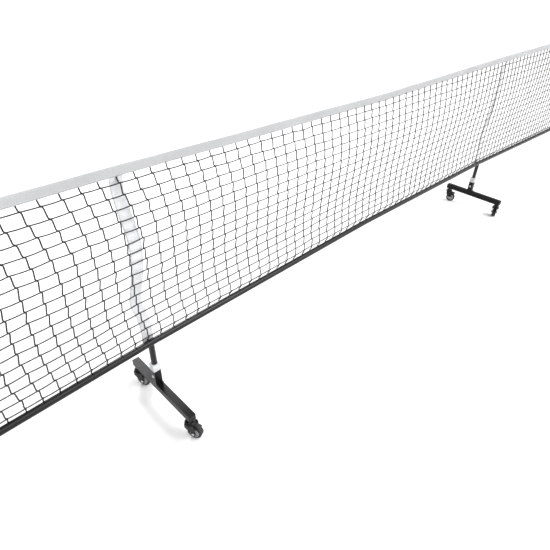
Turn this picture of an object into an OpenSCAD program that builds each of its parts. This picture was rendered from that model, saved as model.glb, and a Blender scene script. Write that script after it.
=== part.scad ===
// Portable court net on two wheeled T-legs.
// X runs along the net, +Y is the far side, +Z is up, and the floor is at Z = 0.
// The origin is on the floor, midway between the legs and at the middle of the foot beams.

/* [Overall] */
// Distance between the axes of the two end uprights
frame_span = 6706; // [6000:1:7000]
// Distance between the two T-legs
leg_spacing = 2235; // [2000:1:2400]
// Height of the rail's axis at the legs
rail_height = 285; // [260:1:320]
// Height of the top edge of the headband at midspan
tape_mid_height = 861; // [850:1:880]
// How much higher the headband stands at the legs than at midspan
tape_rise = 14; // [0:1:30]
// How much higher the rail stands at midspan than at the legs
rail_arch = 17; // [0:1:25]
// Drop of each outer rail tube from its inner end to its outer end
rail_drop = 52; // [0:1:60]

/* [Rail and uprights] */
// Outer diameter of the rail tubes and uprights
tube_od = 22; // [20:0.5:25]
// Wall of the round tubes
tube_wall = 1.5; // [1:0.1:2]
// Radial clearance where one piece plugs into another
plug_gap = 0.05; // [0.02:0.01:0.1]
// Length of a coupler on each side of a rail joint
coupler_reach = 60; // [40:1:80]
// Half length of the tee barrel at a leg
tee_half = 30; // [25:1:32]
// Length of each spigot beyond the tee barrel
tee_spigot = 35; // [25:1:35]
// Radial play of the spigots, which lets the rail bend at the legs
tee_play = 1.1; // [1.1:0.1:2]
// Outer radius of the corner elbow
elbow_r = 13.5; // [12.5:0.1:16]
// Length of each arm of the corner elbow from its corner
elbow_arm = 40; // [35:1:60]
// Height of the uprights' upper ends
upright_top = 894; // [880:1:930]

/* [T-legs] */
// Length of a foot beam
beam_length = 335; // [320:1:360]
// Width and height of the square foot beam
beam_size = 25; // [22:0.5:30]
// Wall of the foot beam
beam_wall = 1.6; // [1.2:0.1:2]
// Height of the foot beam's top face
beam_top = 107.5; // [105:0.5:112]
// How far the post stands behind the middle of the beam
post_offset = 26.5; // [20:0.5:30]
// Outer diameter of the leg post
post_od = 20; // [18:0.5:20]
// Width of the square leg socket
socket_size = 25; // [24:0.5:27]
// Wall of the leg socket
socket_wall = 1.2; // [1:0.1:1.3]
// Height of the leg socket's upper end
socket_top = 167; // [155:0.5:170]
// Height of the collar's upper end
collar_top = 195; // [180:0.5:195]
// Width of the square collar
collar_size = 26.5; // [25:0.5:30]
// Thickness of the socket's base plate
plate_height = 3; // [2:0.5:4]
// Height of the cross bolt through the socket and the post
bolt_height = 139; // [132:0.5:150]
// Diameter of the cross bolt
bolt_od = 6; // [5:0.5:6]

/* [Casters] */
// Distance of a caster stem from the end of its beam
stem_inset = 15; // [14:0.5:20]
// Horizontal distance from the swivel axis to the wheel axle
trail = 16; // [14:0.5:20]
// Wheel diameter
wheel_od = 50.8; // [48:0.2:52]
// Width of the tyre
tyre_width = 22; // [20:0.5:23]
// Diameter of the threaded stem
stem_od = 8; // [8:0.5:10]
// Diameter of the wheel axle
axle_od = 6; // [5:0.5:7]
// Clear width between the legs of the fork
fork_gap = 26; // [25:0.5:28]
// Thickness of the fork's legs
fork_plate = 3; // [2.5:0.25:3.5]
// Diameter of the stub pins that the brake pedal turns on
pin_od = 4; // [3:0.5:5]
// Heading of the left front caster, turned from straight towards the near side
heading_left_front = 25; // [-180:1:180]
// Heading of the left rear caster
heading_left_rear = 25; // [-180:1:180]
// Heading of the right front caster
heading_right_front = 107; // [-180:1:180]
// Heading of the right rear caster
heading_right_rear = 22; // [-180:1:180]

/* [Net] */
// Height of the folded headband
tape_height = 27; // [25:1:60]
// Thickness of the folded headband
tape_thick = 5; // [4:0.5:8]
// Thickness of the net panel's solid
net_thick = 2; // [2:0.5:4]
// Gap between the rail and the net panel's lower edge
net_lift = 3.2; // [2:0.1:6]
// Width of the two vertical straps
strap_width = 38; // [30:1:50]
// Thickness of the straps' solids
strap_thick = 2; // [1.5:0.5:3]
// Distance of the straps behind the rail's axis
strap_back = 14; // [13:0.5:20]

/* [Hidden] */
$fn = 64;
// Overlap that joins two shapes of one piece
EPS = 0.01;
// Gap between pieces that move past each other
SLACK = 0.3;
BLACK = [0.08, 0.08, 0.09];
SATIN_BLACK = [0.13, 0.13, 0.14];
WHITE = [0.94, 0.95, 0.96];
OFF_WHITE = [0.86, 0.87, 0.87];
LIGHT_GREY = [0.74, 0.76, 0.78];
STEEL = [0.66, 0.67, 0.69];
leg_x = leg_spacing / 2;
end_x = frame_span / 2;
joint_x = leg_x + (end_x - leg_x) / 2;
tube_r = tube_od / 2;
bore_r = tube_r - tube_wall;
plug_r = bore_r - plug_gap;
tee_spigot_r = bore_r - tee_play;
plug_wall = 1.6;
post_r = post_od / 2;
beam_bottom = beam_top - beam_size;
stem_y = beam_length / 2 - stem_inset;
stem_r = stem_od / 2;
axle_r = axle_od / 2;
wheel_r = wheel_od / 2;
bolt_r = bolt_od / 2;
pin_r = pin_od / 2;
tape_leg_height = tape_mid_height + tape_rise;
tape_end_rise = 3;
tape_end_height = tape_leg_height + tape_end_rise;
// Half of the gap left between two rail tubes
joint_gap = 0.4;
// Rail axis points in the XZ plane, from the left corner to the right one
rail_points = [
    [-end_x, rail_height - 2 * rail_drop],
    [-joint_x, rail_height - rail_drop],
    [-leg_x, rail_height],
    [0, rail_height + rail_arch],
    [leg_x, rail_height],
    [joint_x, rail_height - rail_drop],
    [end_x, rail_height - 2 * rail_drop]
];
// Distance from the corner of an elbow to the ends of the tubes in it
elbow_depth = 13;
// What each rail tube keeps clear at its left end and at its right end
tube_starts = [elbow_depth, joint_gap, tee_half, joint_gap, tee_half, joint_gap];
tube_ends = [joint_gap, tee_half, joint_gap, tee_half, joint_gap, elbow_depth];
RAILS = ["rail_outer_left", "rail_mid_left", "rail_centre_left",
         "rail_centre_right", "rail_mid_right", "rail_outer_right"];
COUPLERS = [["coupler_left", 1], ["coupler_centre", 3], ["coupler_right", 5]];
LEGS = [["left", -1], ["right", 1]];
// Each caster: its name, the side of its leg, the end of its beam and its heading
CASTERS = [
    ["left_front", -1, -1, heading_left_front],
    ["left_rear", -1, 1, heading_left_rear],
    ["right_front", 1, -1, heading_right_front],
    ["right_rear", 1, 1, heading_right_rear]
];
CASTER_PARTS = ["caster_stem", "fork", "axle", "hub", "tyre", "brake_pedal"];
LEG_PARTS = ["foot_beam", "leg_socket", "socket_collar", "leg_post", "rail_tee",
             "rail_elbow", "upright", "strap", "net_sleeve"];
SHARED = ["beam_end_caps", "socket_bolts", "upright_caps", "net_panel", "headband"];

// Slope, in degrees, of the stretch of rail that starts at point i
function slope(i) = atan2(rail_points[i + 1][1] - rail_points[i][1],
                          rail_points[i + 1][0] - rail_points[i][0]);
function stretch(i) = norm(rail_points[i + 1] - rail_points[i]);

// Moves to rail point i and turns +Z along the stretch of rail before (-1) or after (+1) it
module on_rail(i, way) {
    turn = way > 0 ? 90 - slope(i) : -90 - slope(i - 1);
    translate([rail_points[i][0], post_offset, rail_points[i][1]])
        rotate([0, turn, 0])
            children();
}

module tube(r, wall, h) {
    difference() {
        cylinder(r = r, h = h);
        translate([0, 0, -1])
            cylinder(r = r - wall, h = h + 2);
    }
}

module square_tube(size, wall, h) {
    difference() {
        translate([-size / 2, -size / 2, 0])
            cube([size, size, h]);
        translate([wall - size / 2, wall - size / 2, -1])
            cube([size - 2 * wall, size - 2 * wall, h + 2]);
    }
}

// ---- Rail ----

module rail_tube(i) {
    color(SATIN_BLACK)
        on_rail(i, 1)
            translate([0, 0, tube_starts[i]])
                tube(tube_r, tube_wall, stretch(i) - tube_starts[i] - tube_ends[i]);
}

// Keeps what lies on one side (-1 or +1) of the mitre plane at rail point i
module mitred(i, way) {
    reach = coupler_reach + tee_half + tube_od;
    mean_slope = (slope(i - 1) + slope(i)) / 2;
    intersection() {
        children();
        translate([rail_points[i][0], post_offset, rail_points[i][1]])
            rotate([0, -mean_slope, 0])
                translate([way > 0 ? 0 : -reach, -tube_od, -tube_od])
                    cube([reach, 2 * tube_od, 2 * tube_od]);
    }
}

// Inner sleeve that joins two rail tubes end to end
module coupler(i) {
    overrun = 3;
    color(BLACK)
        for (way = [-1, 1])
            mitred(i, way)
                on_rail(i, way)
                    translate([0, 0, -overrun])
                        tube(plug_r, plug_wall, coupler_reach + overrun);
}

// Moves to the rail at a leg and turns +Z along the mean of the two slopes that meet there
module on_tee(side) {
    i = side < 0 ? 2 : 4;
    corner(i)
        rotate([0, 90 - (slope(i - 1) + slope(i)) / 2, 0])
            children();
}

// Straight barrel at the head of a leg, with a loose hollow spigot on each side for the rail tubes
module rail_tee(side) {
    barrel = 2 * (tee_half - joint_gap);
    spigots = 2 * (tee_half + tee_spigot);
    color(SATIN_BLACK)
        on_tee(side)
            difference() {
                union() {
                    cylinder(r = tube_r, h = barrel, center = true);
                    cylinder(r = tee_spigot_r, h = spigots, center = true);
                }
                cylinder(r = tee_spigot_r - plug_wall, h = spigots + 2, center = true);
            }
}

// Corner fitting with a blind socket for the rail and one for the upright
module rail_elbow(side) {
    i = side < 0 ? 0 : 6;
    rail_way = -side;
    knuckle = 0.7;
    color(BLACK)
        difference() {
            union() {
                on_rail(i, rail_way)
                    cylinder(r = elbow_r, h = elbow_arm);
                corner(i)
                    sphere(r = elbow_r + knuckle);
                corner(i)
                    cylinder(r = elbow_r, h = elbow_arm);
            }
            on_rail(i, rail_way)
                translate([0, 0, elbow_depth - plug_gap])
                    cylinder(r = tube_r + plug_gap, h = elbow_arm);
            corner(i)
                translate([0, 0, elbow_depth - plug_gap])
                    cylinder(r = tube_r + plug_gap, h = elbow_arm);
        }
}

module corner(i) {
    translate([rail_points[i][0], post_offset, rail_points[i][1]])
        children();
}

module upright(side) {
    foot = rail_points[0][1] + elbow_depth;
    color(SATIN_BLACK)
        translate([side * end_x, post_offset, foot])
            tube(tube_r, tube_wall, upright_top - foot);
}

// Plugs with a low dome that close the tops of the uprights
module upright_caps() {
    dome_h = 5;
    plug_depth = 14;
    color(BLACK)
        for (side = [-1, 1])
            translate([side * end_x, post_offset, upright_top]) {
                translate([0, 0, -plug_depth])
                    cylinder(r = plug_r, h = plug_depth + 1);
                intersection() {
                    cylinder(r = tube_r, h = dome_h);
                    translate([0, 0, dome_h - 2 * tube_r])
                        sphere(r = 2 * tube_r);
                }
            }
}

// ---- T-legs ----

module foot_beam(side) {
    color(SATIN_BLACK)
        difference() {
            translate([side * leg_x, -beam_length / 2, beam_bottom + beam_size / 2])
                rotate([-90, 0, 0])
                    square_tube(beam_size, beam_wall, beam_length);
            for (end = [-1, 1])
                translate([side * leg_x, end * stem_y, beam_bottom - 1])
                    cylinder(r = stem_r + 2 * plug_gap, h = beam_wall + 2);
        }
}

// Square plugs in the ends of the foot beams
module beam_end_caps() {
    lip = 2.4;
    depth = 5;
    tongue = beam_size - 2 * beam_wall - 2 * plug_gap;
    color(BLACK)
        for (g = LEGS)
            for (end = [-1, 1])
                translate([g[1] * leg_x, end * beam_length / 2, beam_bottom + beam_size / 2])
                    rotate([-90 * end, 0, 0]) {
                        cap_plate(lip);
                        translate([-tongue / 2, -tongue / 2, -depth])
                            cube([tongue, tongue, depth + EPS]);
                    }
}

// Plate with bevelled outer edges
module cap_plate(lip) {
    bevel = 1;
    translate([-beam_size / 2, -beam_size / 2, 0])
        cube([beam_size, beam_size, lip - bevel]);
    translate([bevel - beam_size / 2, bevel - beam_size / 2, 0])
        cube([beam_size - 2 * bevel, beam_size - 2 * bevel, lip]);
}

// Square tube that takes the post, welded to a base plate on the beam
module leg_socket(side) {
    plate_margin = 6;
    plate_y = socket_size + 2 * plate_margin;
    color(SATIN_BLACK)
        difference() {
            translate([side * leg_x, post_offset, beam_top]) {
                translate([-beam_size / 2, -plate_y / 2, 0])
                    cube([beam_size, plate_y, plate_height]);
                square_tube(socket_size, socket_wall, socket_top - beam_top);
            }
            bolt_hole(side, bolt_r + 2 * plug_gap);
        }
}

module bolt_hole(side, r) {
    translate([side * leg_x - socket_size, post_offset, bolt_height])
        rotate([0, 90, 0])
            cylinder(r = r, h = 2 * socket_size);
}

// Plastic collar: a square head on the socket and a skirt inside it
module socket_collar(side) {
    skirt = socket_size - 2 * socket_wall - 2 * plug_gap;
    skirt_foot = 125;
    color(WHITE)
        difference() {
            translate([side * leg_x, post_offset, 0]) {
                collar_head();
                translate([-skirt / 2, -skirt / 2, skirt_foot])
                    cube([skirt, skirt, socket_top - skirt_foot + EPS]);
            }
            translate([side * leg_x, post_offset, skirt_foot - 1])
                cylinder(r = post_r + plug_gap, h = collar_top - skirt_foot + 2);
            bolt_hole(side, bolt_r + 2 * plug_gap);
        }
}

module collar_head() {
    bevel = 1.5;
    height = collar_top - socket_top;
    translate([-collar_size / 2, -collar_size / 2, socket_top])
        cube([collar_size, collar_size, height - bevel]);
    translate([bevel - collar_size / 2, bevel - collar_size / 2, socket_top])
        cube([collar_size - 2 * bevel, collar_size - 2 * bevel, height]);
}

// Round post that is coped onto the tee barrel at its head
module leg_post(side) {
    foot = 118;
    color(SATIN_BLACK)
        difference() {
            translate([side * leg_x, post_offset, foot])
                tube(post_r, tube_wall, rail_height - foot);
            on_tee(side)
                cylinder(r = tube_r + EPS, h = 2 * tee_half, center = true);
            bolt_hole(side, bolt_r + 2 * plug_gap);
        }
}

// Cross bolts that hold the posts in their sockets, each with a domed head and a nut
module socket_bolts() {
    head_r = 5.5;
    head_h = 3.2;
    dome_r = head_r + 1;
    nut_r = 5;
    nut_h = 4;
    end_play = 1.5;
    half = socket_size / 2;
    color(STEEL)
        for (g = LEGS)
            translate([g[1] * leg_x, post_offset, bolt_height])
                rotate([0, 90, 0]) {
                    translate([0, 0, -half - EPS])
                        cylinder(r = bolt_r, h = 2 * half + nut_h + end_play);
                    translate([0, 0, -half])
                        mirror([0, 0, 1])
                            intersection() {
                                cylinder(r = head_r, h = head_h);
                                translate([0, 0, head_h - dome_r])
                                    sphere(r = dome_r);
                            }
                    translate([0, 0, half])
                        cylinder(r = nut_r, h = nut_h, $fn = 6);
                }
}

// ---- Casters ----

// Bearing cup on the stem
cup_r = 15;
cup_z = 70;
cup_h = 3;
neck_r = 8.5;
// Crown of the fork: its top, its underside, the lower edge of its rim and its radius
crown_top = cup_z - SLACK;
crown_under = 61;
rim_z = 57;
crown_r = 19;
rim_wall = 3;
crown_bevel_z = 64;
// Axis of the pedal's stub pins and radius of the fork's bosses at the axle
pin_y = -11;
pin_z = 56;
boss_r = 8;
leg_inner = fork_gap / 2;
leg_outer = leg_inner + fork_plate;
hub_r = 17.5;
hub_half = 10;

// Moves from the swivel axis of a caster to the origin, with the caster's own heading
module at_caster(c) {
    translate([c[1] * leg_x, c[2] * stem_y, 0])
        rotate([0, 0, c[3]])
            children();
}

// Moves to the wheel's centre, with +Z along the axle
module at_wheel(c) {
    at_caster(c)
        translate([0, -trail, wheel_r])
            rotate([0, 90, 0])
                children();
}

// Cylinder along the caster's X axis, centred on it, at y and z
module cross_pin(r, half, y, z) {
    translate([-half, y, z])
        rotate([0, 90, 0])
            cylinder(r = r, h = 2 * half);
}

// Threaded stem with its neck, bearing cup, retaining flange and nut
module caster_stem(c) {
    flange_r = 6.5;
    flange_h = 2.8;
    flange_top = crown_under - SLACK;
    nut_h = 5;
    nut_r = 7.5;
    nut_z = beam_bottom + beam_wall + EPS;
    thread_end = 3;
    color(STEEL)
        at_caster(c) {
            translate([0, 0, flange_top - EPS])
                cylinder(r = stem_r, h = nut_z + nut_h + thread_end - flange_top);
            translate([0, 0, flange_top - flange_h])
                cylinder(r = flange_r, h = flange_h);
            translate([0, 0, cup_z])
                cylinder(r = cup_r, h = cup_h);
            translate([0, 0, cup_z])
                cylinder(r = neck_r, h = beam_bottom - cup_z);
            translate([0, 0, nut_z])
                cylinder(r = nut_r, h = nut_h, $fn = 6);
        }
}

// Swivel fork: a hooded crown and two tapered legs
module fork(c) {
    window_foot = wheel_r - boss_r - 4;
    window_front = wheel_r + trail + 3;
    color(BLACK)
        at_caster(c)
            difference() {
                union() {
                    fork_crown();
                    translate([leg_inner, 0, 0])
                        fork_leg();
                    translate([-leg_outer, 0, 0])
                        fork_leg();
                }
                translate([0, 0, crown_under - 1])
                    cylinder(r = stem_r + plug_gap, h = crown_top - crown_under + 2);
                cross_pin(axle_r + plug_gap / 2, 2 * leg_outer, -trail, wheel_r);
                cross_pin(pin_r + plug_gap, 2 * leg_outer, pin_y, pin_z);
                translate([-leg_inner, -window_front, window_foot])
                    cube([fork_gap, window_front + crown_r + 1, crown_under - window_foot]);
            }
}

module fork_crown() {
    rim_inner = crown_r - rim_wall;
    rotate_extrude()
        polygon([
            [0, crown_under],
            [rim_inner, crown_under],
            [rim_inner, rim_z],
            [crown_r, rim_z],
            [crown_r, crown_bevel_z],
            [rim_inner, crown_top - 2],
            [cup_r - 2, crown_top],
            [0, crown_top]
        ]);
}

// One leg of the fork, narrowing from the crown to the axle boss
module fork_leg() {
    front = -crown_r - 1;
    back = crown_r - 5;
    knee_z = 48;
    rotate([90, 0, 90])
        linear_extrude(fork_plate)
            union() {
                polygon([
                    [front + 2, crown_bevel_z],
                    [front, knee_z + 4],
                    [-trail - boss_r, wheel_r],
                    [-trail + boss_r, wheel_r],
                    [back, knee_z],
                    [back, crown_bevel_z]
                ]);
                translate([-trail, wheel_r])
                    circle(r = boss_r);
            }
}

// Wheel axle with a head at each end
module axle(c) {
    head_r = 4.6;
    head_h = 2;
    color(STEEL)
        at_wheel(c) {
            translate([0, 0, -leg_outer])
                cylinder(r = axle_r, h = 2 * leg_outer);
            translate([0, 0, -leg_outer - head_h])
                cylinder(r = head_r, h = head_h);
            translate([0, 0, leg_outer])
                cylinder(r = head_r, h = head_h);
        }
}

// Hub with a dished web on each side
module hub(c) {
    bore = axle_r + plug_gap;
    boss = bore + 3;
    boss_half = hub_half + 2;
    web_half = 5;
    rim_inner = hub_r - 2.5;
    half_outline = [
        [bore, boss_half],
        [boss, boss_half],
        [boss + 0.5, web_half],
        [rim_inner - 1, web_half],
        [rim_inner, hub_half],
        [hub_r, hub_half]
    ];
    color(LIGHT_GREY)
        at_wheel(c)
            rotate_extrude()
                polygon(both_sides(half_outline));
}

// An outline's upper half, followed by its mirror image in reverse
function both_sides(half) =
    concat(half, [for (i = [len(half) - 1 : -1 : 0]) [half[i][0], -half[i][1]]]);

// Rubber tyre with rounded shoulders
module tyre(c) {
    half = tyre_width / 2;
    inner = hub_r + EPS;
    shoulder = 4;
    half_outline = concat(
        [[inner, half - 1], [inner + 1, half]],
        [for (a = [90 : -15 : 0])
            [wheel_r - shoulder + shoulder * cos(a), half - shoulder + shoulder * sin(a)]]
    );
    color(BLACK)
        at_wheel(c)
            rotate_extrude()
                polygon(both_sides(half_outline));
}

// Toe lever that turns on two stub pins in the fork and presses on the tyre
module brake_pedal(c) {
    half = 8;
    back = pin_y + 3;
    toe = pin_y - 27;
    color(SATIN_BLACK)
        at_caster(c) {
            translate([-half, 0, 0])
                rotate([90, 0, 90])
                    linear_extrude(2 * half)
                        polygon([
                            [back, pin_z - pin_r],
                            [back, pin_z + pin_r],
                            [pin_y, pin_z + pin_r + 1],
                            [pin_y - 16, pin_z + 1.5],
                            [toe, pin_z - 2],
                            [toe, pin_z - 5],
                            [pin_y - 20, pin_z - 3.2],
                            [pin_y - 13, pin_z - 2.2]
                        ]);
            cross_pin(pin_r, leg_outer - 0.4, pin_y, pin_z);
        }
}

// ---- Net ----

// Outline of a band between two polylines in the XZ plane, extruded along Y
module sheet_band(top, bottom, thick) {
    n = len(bottom);
    translate([0, post_offset + thick / 2, 0])
        rotate([90, 0, 0])
            linear_extrude(thick)
                polygon(concat(top, [for (i = [0 : n - 1]) bottom[n - 1 - i]]));
}

sleeve_r = 13;
sleeve_bore = tube_r + SLACK;
net_end = end_x - max(sleeve_r, elbow_r) - plug_gap;
tape_line = [
    [-net_end, tape_end_height],
    [-leg_x, tape_leg_height],
    [0, tape_mid_height],
    [leg_x, tape_leg_height],
    [net_end, tape_end_height]
];
tape_foot = [for (p = tape_line) [p[0], p[1] - tape_height]];
net_foot_gap = tube_r + net_lift;
net_foot = [
    for (i = [0 : 6])
        [i == 0 ? -net_end : i == 6 ? net_end : rail_points[i][0], rail_points[i][1] + net_foot_gap]
];

module net_panel() {
    color(BLACK)
        sheet_band(tape_foot, net_foot, net_thick);
}

module headband() {
    color(OFF_WHITE)
        sheet_band(tape_line, tape_foot, tape_thick);
}

// Webbing strap that is sewn to the back of the headband and hangs behind the rail
module strap(side) {
    sewn_top = tape_leg_height - 3;
    sewn_foot = tape_leg_height - tape_height;
    slant = 60;
    foot = rail_height - tube_r - 4;
    front = [
        [tape_thick / 2, sewn_top],
        [tape_thick / 2, sewn_foot],
        [strap_back, sewn_foot - slant],
        [strap_back, foot]
    ];
    back = [for (i = [3 : -1 : 0]) front[i] + [strap_thick, 0]];
    color(WHITE)
        translate([side * leg_x - strap_width / 2, post_offset, 0])
            rotate([90, 0, 90])
                linear_extrude(strap_width)
                    polygon(concat(front, back));
}

// Sleeve at the net's end that slips over the upright
module net_sleeve(side) {
    foot = rail_points[0][1] + elbow_arm + 2;
    color(BLACK)
        translate([side * end_x, post_offset, foot])
            tube(sleeve_r, sleeve_r - sleeve_bore, tape_end_height - foot);
}

// ---- Nodes ----

for (i = [0 : 5])
    rail_tube(i);
for (c = COUPLERS)
    coupler(c[1]);
for (g = LEGS) {
    foot_beam(g[1]);
    leg_socket(g[1]);
    socket_collar(g[1]);
    leg_post(g[1]);
    rail_tee(g[1]);
    rail_elbow(g[1]);
    upright(g[1]);
    strap(g[1]);
    net_sleeve(g[1]);
}
beam_end_caps();
socket_bolts();
upright_caps();
net_panel();
headband();
for (c = CASTERS) {
    caster_stem(c);
    fork(c);
    axle(c);
    hub(c);
    tyre(c);
    brake_pedal(c);
}
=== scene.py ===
"""Looks of the portable court net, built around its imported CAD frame."""
import math
import random

import bmesh
import bpy
import numpy as np
from mathutils import Matrix, Vector


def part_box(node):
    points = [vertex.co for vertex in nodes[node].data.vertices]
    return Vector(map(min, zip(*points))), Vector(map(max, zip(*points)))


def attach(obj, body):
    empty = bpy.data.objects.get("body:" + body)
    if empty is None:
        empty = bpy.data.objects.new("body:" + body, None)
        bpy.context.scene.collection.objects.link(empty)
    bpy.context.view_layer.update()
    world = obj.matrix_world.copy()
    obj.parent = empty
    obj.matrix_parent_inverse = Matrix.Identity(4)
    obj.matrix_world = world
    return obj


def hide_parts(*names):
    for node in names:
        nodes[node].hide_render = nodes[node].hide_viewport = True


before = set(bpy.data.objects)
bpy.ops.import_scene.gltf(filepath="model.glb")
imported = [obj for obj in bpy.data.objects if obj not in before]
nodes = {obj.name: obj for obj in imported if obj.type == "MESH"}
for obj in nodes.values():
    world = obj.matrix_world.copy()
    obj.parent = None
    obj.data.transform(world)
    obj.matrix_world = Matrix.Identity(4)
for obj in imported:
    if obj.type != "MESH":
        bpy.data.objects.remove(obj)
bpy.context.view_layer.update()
MM = 0.001


# ---- Camera: standing on the near side, left of the left leg, and looking down along the net ----

CAMERA_PLACE = (-1.6006, -0.9863, 1.318)
CAMERA_YAW = math.radians(45.50)
CAMERA_PITCH = math.radians(35.63)
CAMERA_ROLL = math.radians(-1.87)
CAMERA_LENS = 30.34


def make_camera():
    ahead = Vector((math.cos(CAMERA_PITCH) * math.sin(CAMERA_YAW),
                    math.cos(CAMERA_PITCH) * math.cos(CAMERA_YAW),
                    -math.sin(CAMERA_PITCH)))
    level = Vector((math.cos(CAMERA_YAW), -math.sin(CAMERA_YAW), 0))
    down = ahead.cross(level)
    right = math.cos(CAMERA_ROLL) * level + math.sin(CAMERA_ROLL) * down
    up = math.sin(CAMERA_ROLL) * level - math.cos(CAMERA_ROLL) * down
    data = bpy.data.cameras.new("camera")
    data.lens = CAMERA_LENS
    data.sensor_width = 36
    data.clip_start = 0.01
    data.clip_end = 100
    camera = bpy.data.objects.new("camera", data)
    turn = Matrix((right, up, -ahead)).transposed().to_4x4()
    camera.matrix_world = Matrix.Translation(CAMERA_PLACE) @ turn
    bpy.context.scene.collection.objects.link(camera)
    bpy.context.scene.camera = camera


make_camera()


# ---- Materials ----

def new_material(name, colour, roughness, **sockets):
    """A Principled material with its plain values set on the shader's own sockets."""
    material = bpy.data.materials.new(name)
    material.use_nodes = True
    shader = material.node_tree.nodes["Principled BSDF"]
    shader.inputs["Base Color"].default_value = (*colour, 1)
    shader.inputs["Roughness"].default_value = roughness
    for socket, value in sockets.items():
        shader.inputs[socket.replace("_", " ")].default_value = value
    return material


class Tree:
    """Short names for adding nodes to a material."""

    def __init__(self, material):
        self.tree = material.node_tree
        self.shader = self.tree.nodes["Principled BSDF"]
        self.coordinates = self.tree.nodes.new("ShaderNodeTexCoord").outputs["Object"]

    def add(self, kind, inputs=None, **settings):
        node = self.tree.nodes.new("ShaderNode" + kind)
        for name, value in settings.items():
            setattr(node, name, value)
        for socket, value in (inputs or {}).items():
            self.join(value, node.inputs[socket])
        return node

    def join(self, value, socket):
        if isinstance(value, bpy.types.NodeSocket):
            self.tree.links.new(value, socket)
        else:
            socket.default_value = value

    def noise(self, scale, detail=2):
        node = self.add("TexNoise", {"Scale": scale, "Detail": detail, "Vector": self.coordinates})
        return node.outputs["Fac"]

    def ramp(self, value, low, high, start=0.35, end=0.65):
        """Colour between low and high as value goes from start to end."""
        node = self.add("ValToRGB", {"Fac": value})
        first, last = node.color_ramp.elements
        first.position, last.position = start, end
        first.color, last.color = (*low, 1), (*high, 1)
        return node.outputs["Color"]

    def spread(self, value, low, high):
        """Value from 0 to 1 mapped to the range from low to high."""
        node = self.add("MapRange", {"Value": value, "To Min": low, "To Max": high})
        return node.outputs["Result"]

    def colour(self, value):
        self.join(value, self.shader.inputs["Base Color"])

    def roughness(self, value):
        self.join(value, self.shader.inputs["Roughness"])

    def bump(self, height, distance):
        node = self.add("Bump", {"Height": height, "Distance": distance, "Strength": 1.0})
        self.join(node.outputs["Normal"], self.shader.inputs["Normal"])

    def stripes(self, axis, pitch):
        """Rounded ridges across one axis of the object, pitch metres apart, from 0 to 1."""
        split = self.add("SeparateXYZ", {"Vector": self.coordinates})
        turns = self.add("Math", {0: split.outputs[axis], 1: 2 * math.pi / pitch}, operation="MULTIPLY")
        wave = self.add("Math", {0: turns.outputs[0]}, operation="SINE")
        node = self.add("MapRange", {"Value": wave.outputs[0], "From Min": -1.0, "From Max": 1.0})
        return node.outputs["Result"]


def scaled(colour, share):
    return tuple(c * share for c in colour)


def powder_coat(name, colour, roughness, shine):
    """Satin coat with a fine orange peel, a little dust and uneven gloss."""
    material = new_material(name, colour, roughness, Specular_IOR_Level=shine)
    tree = Tree(material)
    cloud = tree.noise(9, 4)
    tree.colour(tree.ramp(cloud, scaled(colour, 0.8), scaled(colour, 1.3)))
    tree.roughness(tree.spread(tree.noise(26, 3), roughness - 0.06, roughness + 0.08))
    tree.bump(tree.noise(1400, 1), 0.00006)
    return material


def moulded_plastic(name, colour, roughness):
    """Moulded plastic with a fine spark-eroded grain and slight mottling."""
    material = new_material(name, colour, roughness, Specular_IOR_Level=0.25)
    tree = Tree(material)
    tree.colour(tree.ramp(tree.noise(60, 3), scaled(colour, 0.88), scaled(colour, 1.12)))
    tree.roughness(tree.spread(tree.noise(120, 2), roughness - 0.05, roughness + 0.07))
    tree.bump(tree.noise(900, 2), 0.00005)
    return material


def plated_steel(name, colour, roughness):
    """Zinc-plated steel with a faint lay and a few duller spots."""
    material = new_material(name, colour, roughness, Metallic=1.0)
    tree = Tree(material)
    spots = tree.noise(220, 4)
    tree.colour(tree.ramp(spots, scaled(colour, 0.72), colour))
    tree.roughness(tree.spread(tree.noise(90, 3), roughness - 0.08, roughness + 0.14))
    tree.bump(tree.stripes("Z", 0.0004), 0.00001)
    return material


def rubber(name, colour):
    """Rubber with a dusty bloom and a fine scuffed grain."""
    material = new_material(name, colour, 0.62, Specular_IOR_Level=0.4)
    tree = Tree(material)
    dust = tree.noise(45, 5)
    tree.colour(tree.ramp(dust, colour, scaled(colour, 2.2), 0.45, 0.75))
    tree.roughness(tree.spread(tree.noise(160, 3), 0.52, 0.72))
    tree.bump(tree.noise(700, 3), 0.0001)
    return material


def woven(name, colour, thread, depth):
    """Plain weave: warp and weft ridges that cross, with uneven threads, soft stains and painted shade that
    darkens the hollows between the ridges.
    """
    material = new_material(name, colour, 0.8, Sheen_Weight=0.1, Sheen_Roughness=0.5)
    tree = Tree(material)
    warp = tree.stripes("X", thread)
    weft = tree.stripes("Z", thread)
    weave = tree.add("Math", {0: warp, 1: weft}, operation="MULTIPLY").outputs[0]
    uneven = tree.add("Math", {0: weave, 1: tree.noise(400, 2)}, operation="ADD").outputs[0]
    # Painted shade: the colour follows the weave's height and is darker in the hollows between threads; the
    # added noise gives the threads an uneven tone.
    hollow_shade_and_tone = tree.ramp(uneven, scaled(colour, 0.86), tuple(min(1, c * 1.06) for c in colour), 0.3, 1.3)
    stain = tree.ramp(tree.noise(7, 4), (0.93, 0.93, 0.935), (1, 1, 1))
    mix = tree.add("Mix", data_type="RGBA", blend_type="MULTIPLY")
    mix.inputs["Factor"].default_value = 1
    tree.join(hollow_shade_and_tone, mix.inputs[6])
    tree.join(stain, mix.inputs[7])
    tree.colour(mix.outputs[2])
    tree.bump(uneven, depth)
    return material


def twisted_twine(name, colour):
    """Twisted twine or thread with a soft sheen."""
    material = new_material(name, colour, 0.7, Sheen_Weight=0.1)
    tree = Tree(material)
    tree.colour(tree.ramp(tree.noise(900, 2), scaled(colour, 0.7), scaled(colour, 1.5)))
    tree.bump(tree.noise(1600, 2), 0.0003)
    return material


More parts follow.
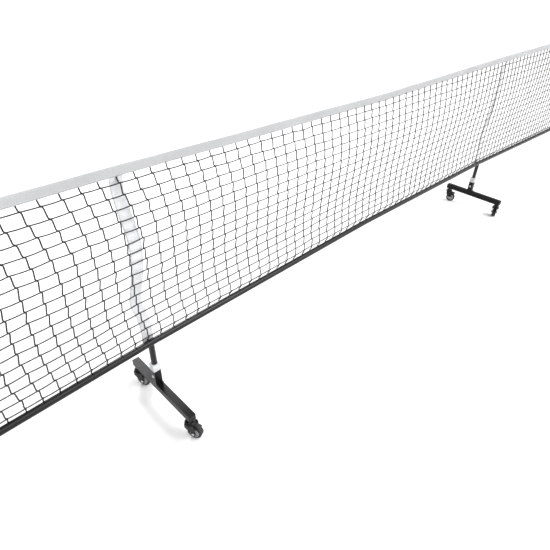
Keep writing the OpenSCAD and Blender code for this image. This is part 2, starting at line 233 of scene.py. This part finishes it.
BLACK_COAT = (0.005, 0.005, 0.0055)
rail_coat = powder_coat("rail_coat", BLACK_COAT, 0.26, 0.32)
beam_coat = powder_coat("beam_coat", (0.006, 0.0062, 0.0068), 0.32, 0.14)
coupler_coat = powder_coat("coupler_coat", (0.03, 0.03, 0.03), 0.5, 0.3)
white_plastic = moulded_plastic("white_plastic", (0.6, 0.61, 0.62), 0.34)
black_plastic = moulded_plastic("black_plastic", (0.006, 0.006, 0.0063), 0.45)
fork_plastic = moulded_plastic("fork_plastic", (0.005, 0.005, 0.0053), 0.35)
pedal_plastic = moulded_plastic("pedal_plastic", (0.03, 0.031, 0.033), 0.45)
hub_plastic = moulded_plastic("hub_plastic", (0.5, 0.51, 0.52), 0.3)
zinc = plated_steel("zinc", (0.7, 0.71, 0.72), 0.25)
black_zinc = plated_steel("black_zinc", (0.05, 0.05, 0.052), 0.4)
tyre_rubber = rubber("tyre_rubber", (0.014, 0.014, 0.014))
tape_cloth = woven("tape_cloth", (0.5, 0.506, 0.512), 0.0011, 0.00025)
webbing_cloth = woven("webbing_cloth", (0.86, 0.875, 0.89), 0.0016, 0.0004)
sleeve_cloth = woven("sleeve_cloth", (0.022, 0.022, 0.024), 0.0012, 0.0003)
twine = twisted_twine("twine", (0.012, 0.012, 0.013))
stitch_thread = twisted_twine("stitch_thread", (0.6, 0.61, 0.62))

# Each finish covers the CAD nodes whose names start with its key
FINISH = {
    "rail_": rail_coat, "leg_post": rail_coat, "upright_": rail_coat, "rail_tee": rail_coat,
    "foot_beam": beam_coat, "leg_socket": beam_coat, "coupler": coupler_coat,
    "socket_collar": white_plastic, "rail_elbow": black_plastic, "beam_end_caps": black_plastic,
    "upright_caps": black_plastic, "fork": fork_plastic, "brake_pedal": pedal_plastic,
    "hub": hub_plastic, "socket_bolts": zinc, "caster_stem": black_zinc, "axle": zinc, "tyre": tyre_rubber,
}


def finish_of(name):
    """The material whose key is the longest start of the node's name."""
    keys = [k for k in FINISH if name.startswith(k)]
    return FINISH[max(keys, key=len)] if keys else None


for name, node in nodes.items():
    material = finish_of(name)
    if material:
        node.data.materials.clear()
        node.data.materials.append(material)


# ---- Lines that the net follows, worked out from the CAD nodes ----

leg_x = sum(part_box("leg_post_right")[k].x for k in (0, 1)) / 2
net_y = sum(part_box("leg_post_right")[k].y for k in (0, 1)) / 2
RAIL_R = (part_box("upright_right")[1].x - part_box("upright_right")[0].x) / 2


def height_points(node, top):
    """(x, z) along a CAD node's upper or lower edge, sorted by x."""
    best = {}
    for vertex in nodes[node].data.vertices:
        key = round(vertex.co.x, 4)
        z = vertex.co.z
        best[key] = z if key not in best else (max if top else min)(z, best[key])
    xs = sorted(best)
    return np.array(xs), np.array([best[x] for x in xs])


tape_x, tape_z = height_points("headband", True)
foot_x, foot_z = height_points("net_panel", False)
NET_ABOVE_RAIL = 3.2 * MM
TAPE_DEPTH = tape_z[0] - height_points("headband", False)[1][0]
NET_END = float(tape_x[-1])


def tape_top(x):
    """Height of the headband's top edge."""
    return np.interp(x, tape_x, tape_z)


def rail_axis(x):
    """Height of the rail's axis, below the net panel's lower edge."""
    return np.interp(x, foot_x, foot_z) - RAIL_R - NET_ABOVE_RAIL


# ---- Mesh helpers ----

def smoothstep(t):
    """0 below t = 0, 1 above t = 1, and a smooth rise between them."""
    t = np.clip(t, 0, 1)
    return t * t * (3 - 2 * t)


def curve_through(points, steps):
    """Catmull-Rom curve through the points, with that many steps between two of them."""
    p = np.array(points, float)
    p = np.vstack([2 * p[0] - p[1], p, 2 * p[-1] - p[-2]])
    out = []
    for i in range(1, len(p) - 2):
        for t in np.arange(steps) / steps:
            out.append(0.5 * (2 * p[i] + (p[i + 1] - p[i - 1]) * t
                              + (2 * p[i - 1] - 5 * p[i] + 4 * p[i + 1] - p[i + 2]) * t ** 2
                              + (3 * p[i] - p[i - 1] - 3 * p[i + 1] + p[i + 2]) * t ** 3))
    return np.array(out + [p[-2]])


class Shape:
    """Collects swept and lumpy forms into one mesh object."""

    def __init__(self):
        self.vertices, self.faces, self.count = [], [], 0

    def add(self, points, faces):
        self.vertices.append(np.asarray(points, float).reshape(-1, 3))
        self.faces.extend([[i + self.count for i in face] for face in faces])
        self.count += len(self.vertices[-1])

    def sweep(self, rings, closed=True):
        """Skin over rings, an array of (ring, point, xyz). Closed rings get end caps."""
        n, m = rings.shape[:2]
        last = m if closed else m - 1
        faces = [[i * m + j, i * m + (j + 1) % m, (i + 1) * m + (j + 1) % m, (i + 1) * m + j]
                 for i in range(n - 1) for j in range(last)]
        if closed:
            faces.append(list(range(m))[::-1])
            faces.append([(n - 1) * m + j for j in range(m)])
        self.add(rings, faces)

    def tube(self, line, radius, sides=6):
        self.sweep(tube_rings(np.asarray(line, float), radius, sides))

    def lump(self, centre, half_sizes, turn=0.0, around=7, along=4):
        """A knot: a rounded lump, turned by an angle in the XZ plane."""
        points = [(0, 0, 1)]
        for i in range(1, along):
            a = math.pi * i / along
            for j in range(around):
                b = 2 * math.pi * (j + 0.5 * (i % 2)) / around
                points.append((math.sin(a) * math.cos(b), math.sin(a) * math.sin(b), math.cos(a)))
        points.append((0, 0, -1))
        p = np.array(points) * half_sizes
        c, s = math.cos(turn), math.sin(turn)
        p = np.stack([p[:, 0] * c - p[:, 2] * s, p[:, 1], p[:, 0] * s + p[:, 2] * c], axis=1)
        faces = []
        for j in range(around):
            k = (j + 1) % around
            faces.append([0, 1 + j, 1 + k])
            for i in range(along - 2):
                faces.append([1 + i * around + j, 1 + (i + 1) * around + j,
                              1 + (i + 1) * around + k, 1 + i * around + k])
            low = 1 + (along - 2) * around
            faces.append([low + j, len(points) - 1, low + k])
        self.add(p + np.asarray(centre), faces)

    def object(self, name, material, replaces=()):
        """One smooth piece that rides on the frame, in the given material."""
        mesh = bpy.data.meshes.new(name)
        mesh.from_pydata(np.vstack(self.vertices).tolist(), [], self.faces)
        mesh.polygons.foreach_set("use_smooth", [True] * len(mesh.polygons))
        mesh.materials.append(material)
        mesh.validate()
        piece = bpy.data.objects.new(name, mesh)
        bpy.context.scene.collection.objects.link(piece)
        outward = bmesh.new()
        outward.from_mesh(mesh)
        bmesh.ops.recalc_face_normals(outward, faces=outward.faces)
        outward.to_mesh(mesh)
        outward.free()
        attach(piece, "frame")
        if replaces:
            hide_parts(*replaces)
        return piece


def tube_rings(line, radius, sides):
    """Rings of a round tube along a line that never runs along Y."""
    along = np.gradient(line, axis=0)
    along /= np.linalg.norm(along, axis=1)[:, None]
    side = np.cross(along, (0, 1, 0))
    side /= np.linalg.norm(side, axis=1)[:, None]
    over = np.cross(side, along)
    angle = 2 * math.pi * np.arange(sides) / sides
    ring = np.cos(angle)[None, :, None] * side[:, None, :] + np.sin(angle)[None, :, None] * over[:, None, :]
    return line[:, None, :] + radius * ring


def thicken(piece, thickness):
    modifier = piece.modifiers.new("thickness", "SOLIDIFY")
    modifier.thickness = thickness
    modifier.offset = 0
    modifier.use_even_offset = True


# ---- Net: knotted twine whose columns lean to the right towards the rail ----

COLUMN_PITCH = 47.5 * MM
COLUMN_PHASE = 0.17
ROWS = 16
FIRST_ROW = 19.5 * MM
LAST_ROW = 29 * MM
COLUMN_R = 2.05 * MM
ROW_R = 1.9 * MM
BORDER = 26 * MM
JOG = 1.5 * MM
LEAN = 54 * MM
FADE = 0.6
KNOT = np.array((3.9, 2.9, 2.8)) * MM
FOOT_KNOT = np.array((2.6, 2.2, 3.2)) * MM
FOOT_CORD_R = 1.5 * MM
FOOT_CORD_DROP = 1.5 * MM
CORD_BACK = RAIL_R + 1.9 * MM
# Least distance between a column and the net's upright border
COLUMN_GAP = 0.3 * COLUMN_PITCH
border_x = NET_END - BORDER
hand = random.Random(7)


def lean(share, x):
    """How far a knot is shifted along X, from the tape (share 0) to the rail (share 1)."""
    belly = 10.8 * MM * math.sin(math.pi * share)
    curl = 11.8 * MM * math.sin(2 * math.pi * share)
    return (LEAN * share + belly + curl) * float(smoothstep((border_x - abs(x)) / FADE))


def net_ripple(x, z):
    """How far the loose net stands out of its plane."""
    return (1.6 * math.sin(2.1 * x + 5 * z) + 1.2 * math.sin(7.3 * x - 9 * z)) * MM


def knot_place(x, row):
    """Place of a knot, a little off the even grid as hand-knotted net is."""
    share = row / (ROWS - 1)
    moved = x + lean(share, x)
    high = float(tape_top(moved)) - TAPE_DEPTH - FIRST_ROW
    low = float(rail_axis(moved)) + LAST_ROW
    z = high + (low - high) * share
    moved += hand.gauss(0, 1.1) * MM
    z += hand.gauss(0, 0.9) * MM
    return Vector((moved, net_y + net_ripple(moved, z) + hand.gauss(0, 0.5) * MM, z))


first = math.ceil((leg_x - border_x + COLUMN_GAP) / COLUMN_PITCH + COLUMN_PHASE)
last = math.floor((leg_x + border_x - COLUMN_GAP) / COLUMN_PITCH + COLUMN_PHASE)
columns = [-leg_x + (k - COLUMN_PHASE) * COLUMN_PITCH for k in range(first, last + 1)]
knots = [[knot_place(x, row) for row in range(ROWS)] for x in columns]


def behind_rail(x, start):
    """Points that lead a column's twine from its last knot to the foot cord behind the rail."""
    axis = float(rail_axis(x))
    round_rail = [(5.0 * MM, 17.5 * MM), (10.6 * MM, 10.6 * MM),
                  (CORD_BACK, 4.0 * MM), (CORD_BACK, -1.0 * MM)]
    return [start] + [Vector((x, net_y + back, axis + up)) for back, up in round_rail]


def column_line(places):
    """Twine of one column: from inside the tape, along each knot, and down behind the rail."""
    top = places[0] + Vector((-6 * MM, 0, FIRST_ROW + 3 * MM))
    points = [top, places[0] + Vector((-JOG - 1.5 * MM, 0, 6 * MM))]
    for here, below in zip(places, places[1:]):
        gap = below - here
        points.append(here + Vector((-JOG, 0, 0.6 * MM)))
        points.append(here + Vector((JOG, 0, -0.6 * MM)))
        points.append(here + Vector((JOG + 0.6 * MM, 0, 0)) + gap * 0.16)
        points.append(below + Vector((-JOG - 0.6 * MM, 0, 0)) - gap * 0.16)
    points.append(places[-1])
    return points[:-1] + behind_rail(places[-1].x, places[-1])


net = Shape()
for places in knots:
    net.tube(column_line(places), COLUMN_R)
for side in (-1, 1):
    x = side * border_x
    foot = float(rail_axis(x)) + 24 * MM
    top = float(tape_top(x)) - TAPE_DEPTH + 4 * MM
    line = [(x, net_y + net_ripple(x, z), z) for z in np.linspace(top, foot, 40)]
    net.tube(line, COLUMN_R * 1.3, 8)
for row in range(ROWS):
    places = [column[row] for column in knots]
    ends = [Vector((side * border_x, net_y, p.z)) for side, p in ((-1, places[0]), (1, places[-1]))]
    chain = [ends[0]] + places + [ends[1]]
    line = []
    for a, b in zip(chain, chain[1:]):
        sag = Vector((0, 0, -hand.uniform(0.2, 1.3) * MM))
        line += [a, a.lerp(b, 0.25) + 0.7 * sag, a.lerp(b, 0.5) + sag, a.lerp(b, 0.75) + 0.7 * sag]
    net.tube(line + [chain[-1]], ROW_R)
for column in knots:
    for place in column:
        size = KNOT * hand.uniform(0.88, 1.12)
        net.lump(place, size, hand.uniform(-0.5, 0.1))


def foot_cord(x):
    """Centre of the cord that ties the net's foot behind the rail."""
    return (x, net_y + CORD_BACK, float(rail_axis(x)) - FOOT_CORD_DROP)


foot_end = NET_END - 2 * BORDER
net.tube([foot_cord(x) for x in np.linspace(-foot_end, foot_end, 330)], FOOT_CORD_R, 8)
for column in knots:
    if abs(column[-1].x) < foot_end:
        net.lump(foot_cord(column[-1].x), FOOT_KNOT)
net_piece = net.object("knotted_net", twine, replaces=["net_panel"])


# ---- Headband: a strip of coated cloth folded over the net's top cord and sewn along its foot ----

TAPE_ROUND = 2.4 * MM
TAPE_CLOTH = 0.6 * MM
STITCH_PITCH = 6.0 * MM
STITCH_LONG = 3.8 * MM
STITCH_UP = 4.2 * MM
STITCH_R = 0.3 * MM
# How far the cloth's middle layer lies below the headband's top edge
TAPE_INSET = 0.4 * MM
TOP_CORD_R = 1.7 * MM


def tape_sag(x):
    """Small dips and leans of the headband between its fixings: (across, down)."""
    across = (1.1 * math.sin(3.1 * x + 1.0) + 0.5 * math.sin(11 * x)) * MM
    down = (0.5 * math.sin(5.3 * x) + 0.25 * math.sin(23 * x)) * MM
    return across, down


def tape_section(x):
    """The folded cloth from its front foot over the top to its back foot, as (across, height) pairs."""
    belly = (0.35 + 0.25 * math.sin(17 * x)) * MM
    front = [(-0.75 * MM, -TAPE_DEPTH), (-0.8 * MM, -TAPE_DEPTH + STITCH_UP),
             (-1.2 * MM - belly, -0.62 * TAPE_DEPTH), (-1.7 * MM - belly, -0.38 * TAPE_DEPTH),
             (-TAPE_ROUND, -2.6 * TAPE_ROUND)]
    arc = [(-TAPE_ROUND * math.cos(a), TAPE_ROUND * (math.sin(a) - 1))
           for a in np.linspace(0, math.pi, 9)]
    return front + arc + [(-y, z) for y, z in front[::-1]]


tape = Shape()
rings = []
for x in np.linspace(-NET_END + 1 * MM, NET_END - 1 * MM, 420):
    across, down = tape_sag(x)
    top = float(tape_top(x)) - TAPE_INSET
    rings.append([(x, net_y + across + y, top + z - down * (1 + z / TAPE_DEPTH))
                  for y, z in tape_section(x)])
tape.sweep(np.array(rings), closed=False)
tape_piece = tape.object("headband_cloth", tape_cloth, replaces=["headband"])
thicken(tape_piece, TAPE_CLOTH)

stitches = Shape()
for i in range(int(2 * (NET_END - 0.01) / STITCH_PITCH)):
    x = -NET_END + 0.01 + i * STITCH_PITCH
    across, down = tape_sag(x)
    z = float(tape_top(x)) - TAPE_DEPTH + STITCH_UP
    for face in (-1, 1):
        y = net_y + across + face * 1.2 * MM
        stitches.tube([(x, y - face * 0.25 * MM, z), (x + STITCH_LONG / 4, y, z),
                       (x + STITCH_LONG * 3 / 4, y, z), (x + STITCH_LONG, y - face * 0.25 * MM, z)],
                      STITCH_R, 5)
tape_stitches = stitches.object("headband_stitches", stitch_thread)
top_cord = Shape()
top_cord.tube([(x, net_y + tape_sag(x)[0], float(tape_top(x)) - TAPE_INSET - TAPE_ROUND)
               for x in np.linspace(-NET_END + 2 * MM, NET_END - 2 * MM, 200)], TOP_CORD_R, 8)
top_cord.object("headband_cord", twine)


# ---- Straps: slack webbing sewn to the headband and hanging behind the net ----

STRAP_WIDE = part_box("strap_left")[1].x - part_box("strap_left")[0].x
STRAP_CLOTH = 1.3 * MM
STRAP_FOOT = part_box("strap_left")[0].z
# Share of the route's waves that each strap has
STRAP_SLACK = {"left": 1.0, "right": 0.6}
# Height of the highest box stitch and the straps' distance behind the net there
SEWN_TOP = 872 * MM
SEWN_BACK = 5.2 * MM
SIDES = {"left": -1, "right": 1}
# Outward along the net, back from the net's plane, and height, in millimetres
STRAP_ROUTE = [(12, 3.9, 870), (12, 4.2, 846), (9, 15, 802), (3, 10, 735), (-7, 6.5, 655), (-4, 8, 570),
               (3, 28, 480), (9, 34, 432), (3, 22, 385), (0, 15.5, 345), (0, 15.6, 300),
               (0, 15.6, STRAP_FOOT / MM + 1)]


def strap_line(name):
    """Centreline of the left or right strap. Slack scales what lies beyond the straight part."""
    straight = 16
    points = []
    for out, back, high in STRAP_ROUTE:
        if back >= straight:
            back = straight + (back - straight) * STRAP_SLACK[name]
        points.append((SIDES[name] * (leg_x + out * MM), net_y + back * MM, high * MM))
    return curve_through(points, 8)


straps = {}
for name, side in SIDES.items():
    strap = Shape()
    rings = []
    for i, centre in enumerate(strap_line(name)):
        twist = 0.06 * math.sin(i * 0.11)
        across = np.linspace(-1, 1, 9) * STRAP_WIDE / 2
        cupped = 0.5 * MM * np.linspace(-1, 1, 9) ** 2
        rings.append(centre + np.stack([across, across * twist + cupped, 0 * across], axis=1))
    strap.sweep(np.array(rings), closed=False)
    straps[name] = strap.object("webbing_strap_" + name, webbing_cloth,
                                replaces=["strap_" + name])
    thicken(straps[name], STRAP_CLOTH)
    box_stitch = Shape()
    for t in (-0.8, 0.8):
        for k in range(6):
            x = side * (leg_x + 12 * MM) + t * STRAP_WIDE / 2
            y = net_y + SEWN_BACK
            z = SEWN_TOP - 4 * MM * (k + 1)
            thread = [(x, y, z), (x, y + 0.2 * MM, z + 1.2 * MM), (x, y, z + 2.6 * MM)]
            box_stitch.tube(thread, 0.35 * MM, 5)
    box_stitch.object("strap_stitches_" + name, stitch_thread)


# ---- End sleeves: cloth sewn round the uprights, with a flat tab that holds the net's end ----

SLEEVE_R = 12.3 * MM
SLEEVE_CLOTH = 0.8 * MM
TAB = 22 * MM
# Distances of the two seams and of the tab's neck from the sleeve's round
SEAMS = (6 * MM, 17 * MM)
NECK = 3 * MM


def flare(z):
    """How far the tab's free edge waves across the net."""
    return 0.8 * MM * math.sin(40 * z)


sleeves = {}
for name, side in SIDES.items():
    low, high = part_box("net_sleeve_" + name)
    axis_x = (low.x + high.x) / 2
    sleeve = Shape()
    rings = []
    for z in np.linspace(low.z + 1 * MM, high.z - 1 * MM, 130):
        section = []
        for a in np.linspace(-math.pi + 0.32, math.pi - 0.32, 28):
            crease = 0.28 * math.sin(90 * z + 3 * math.sin(a + 9 * z)) * (0.5 + 0.5 * math.cos(a))
            r = SLEEVE_R + crease * MM
            section.append((axis_x + side * r * math.cos(a), net_y + r * math.sin(a), z))
        inner = axis_x - side * (SLEEVE_R + TAB)
        neck = axis_x - side * (SLEEVE_R + NECK)
        start = [(inner, net_y - 0.6 * MM + flare(z), z), (neck, net_y - 0.7 * MM, z)]
        end = [(neck, net_y + 0.7 * MM, z), (inner, net_y + 0.6 * MM + flare(z), z)]
        rings.append(start + section + end)
    sleeve.sweep(np.array(rings), closed=False)
    sleeves[name] = sleeve.object("end_sleeve_" + name, sleeve_cloth,
                                  replaces=["net_sleeve_" + name])
    thicken(sleeves[name], SLEEVE_CLOTH)
    seam = Shape()
    count = int((high.z - low.z - 0.01) / STITCH_PITCH)
    for i in range(count):
        z = low.z + 6 * MM + i * STITCH_PITCH
        for face in (-1, 1):
            for inset in SEAMS:
                x = axis_x - side * (SLEEVE_R + inset)
                y = net_y + face * 1.25 * MM + flare(z) * (inset - NECK) / (TAB - NECK)
                thread = [(x, y, z), (x, y + face * 0.2 * MM, z + 1.5 * MM), (x, y, z + 0.8 * STITCH_LONG)]
                seam.tube(thread, STITCH_R, 5)
    seam.object("sleeve_seam_" + name, stitch_thread)


# ---- The end sleeves' boxes, read again but not used ----

for name in SIDES:
    low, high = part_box("net_sleeve_" + name)


# ---- Floor and light ----

# The side that the main light comes from: near, right and above
KEY_SIDE = (3.5, -4.5, 6.0)


def make_floor():
    mesh = bpy.data.meshes.new("floor")
    half = 60
    corners = [(-half, -half, 0), (half, -half, 0), (half, half, 0), (-half, half, 0)]
    mesh.from_pydata(corners, [], [(0, 1, 2, 3)])
    floor = bpy.data.objects.new("floor", mesh)
    mesh.materials.append(new_material("pale_floor", (0.95, 0.95, 0.95), 0.9, Specular_IOR_Level=0.1))
    bpy.context.scene.collection.objects.link(floor)


def place_light(data, place, aim):
    """A light at a place, turned to face the aim."""
    light = bpy.data.objects.new(data.name, data)
    light.location = place
    light.rotation_euler = (Vector(aim) - Vector(place)).to_track_quat("-Z", "Y").to_euler()
    bpy.context.scene.collection.objects.link(light)


def add_sky_softbox(name, width_angle, strength):
    """A far softbox, that many degrees wide, that lights the whole floor evenly."""
    data = bpy.data.lights.new(name, "SUN")
    data.angle = math.radians(width_angle)
    data.energy = strength
    place_light(data, KEY_SIDE, (0, 0, 0))


def add_softbox(name, place, aim, wide, watts):
    """A round softbox near the net."""
    data = bpy.data.lights.new(name, "AREA")
    data.shape = "DISK"
    data.size = wide
    data.energy = watts
    place_light(data, place, aim)


def white_surroundings(strength):
    """Dim white light from all round, behind a backdrop that the camera sees as plain white."""
    world = bpy.data.worlds.new("studio")
    world.use_nodes = True
    tree = world.node_tree
    light = tree.nodes["Background"]
    light.inputs["Color"].default_value = (1, 1, 1, 1)
    light.inputs["Strength"].default_value = strength
    backdrop = tree.nodes.new("ShaderNodeBackground")
    backdrop.inputs["Color"].default_value = (1, 1, 1, 1)
    path = tree.nodes.new("ShaderNodeLightPath")
    mix = tree.nodes.new("ShaderNodeMixShader")
    tree.links.new(path.outputs["Is Camera Ray"], mix.inputs[0])
    tree.links.new(light.outputs[0], mix.inputs[1])
    tree.links.new(backdrop.outputs[0], mix.inputs[2])
    tree.links.new(mix.outputs[0], tree.nodes["World Output"].inputs["Surface"])
    bpy.context.scene.world = world


make_floor()
white_surroundings(0.4)
add_sky_softbox("key_light", 85, 2.8)
add_sky_softbox("edge_light", 20, 0.85)
add_softbox("back_light", (0.9, 5.0, 4.0), (-1.1, 0.1, 0.1), 2.4, 280)
bpy.context.scene.view_settings.view_transform = "Standard"
